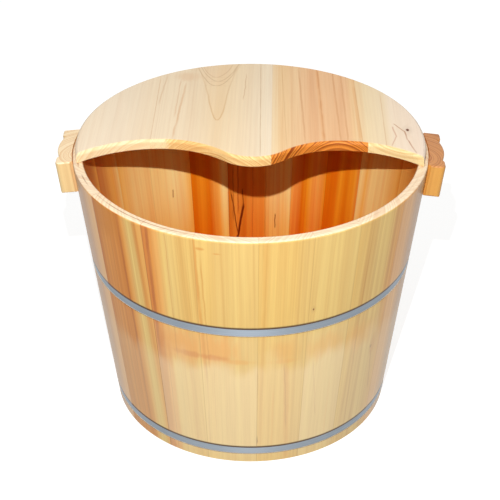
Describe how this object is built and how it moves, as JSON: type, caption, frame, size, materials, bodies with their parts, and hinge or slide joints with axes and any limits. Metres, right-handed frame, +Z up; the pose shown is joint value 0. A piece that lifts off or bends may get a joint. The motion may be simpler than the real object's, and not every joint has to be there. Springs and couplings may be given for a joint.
{
  "type": "wooden foot bath",
  "caption": "Tapered tub of upright wooden staves bound by flat steel hoops, with lobed handle blocks and a loose half lid sawn with leg recesses, for soaking the feet.",
  "frame": {"origin": "middle of the foot circle, on the ground", "axes": "+Z up along the tub's axis, -Y to the front where the feet go in, +X towards the right handle"},
  "size_m": [0.4304, 0.3954, 0.332],
  "materials": {
    "stave_wood": "planed fir or cedar under a clear half-gloss lacquer, honey yellow with orange heartwood streaks",
    "floor_wood": "planed fir or cedar under the same clear lacquer",
    "lid_wood": "pale cream sapwood boards, sanded, with a thin clear satin lacquer",
    "left_handle_wood": "yellow sapwood block, sanded and lacquered",
    "right_handle_wood": "orange heartwood block, sanded and lacquered",
    "pin_wood": "plain bamboo or hardwood peg, hidden in its hole",
    "hoop_steel": "thin cold-rolled stainless strip, bluish grey, half gloss"
  },
  "bodies": {
    "root": {"stave_01": "stave_wood", "stave_02": "stave_wood", "stave_03": "stave_wood", "stave_04": "stave_wood", "stave_05": "stave_wood", "stave_06": "stave_wood", "stave_07": "stave_wood", "stave_08": "stave_wood", "stave_09": "stave_wood", "stave_10": "stave_wood", "stave_11": "stave_wood", "stave_12": "stave_wood", "stave_13": "stave_wood", "stave_14": "stave_wood", "stave_15": "stave_wood", "stave_16": "stave_wood", "stave_17": "stave_wood", "stave_18": "stave_wood", "stave_pins": "pin_wood", "upper_hoop": "hoop_steel", "lower_hoop": "hoop_steel", "floor_board_1": "floor_wood", "floor_board_2": "floor_wood", "floor_board_3": "floor_wood", "floor_board_4": "floor_wood", "floor_pins": "pin_wood", "lid_board_1": "lid_wood", "lid_board_2": "lid_wood", "lid_board_3": "lid_wood", "lid_board_4": "lid_wood", "lid_pins": "pin_wood", "left_handle": "left_handle_wood", "right_handle": "right_handle_wood", "handle_dowels": "pin_wood"}
  },
  "joints": []
}
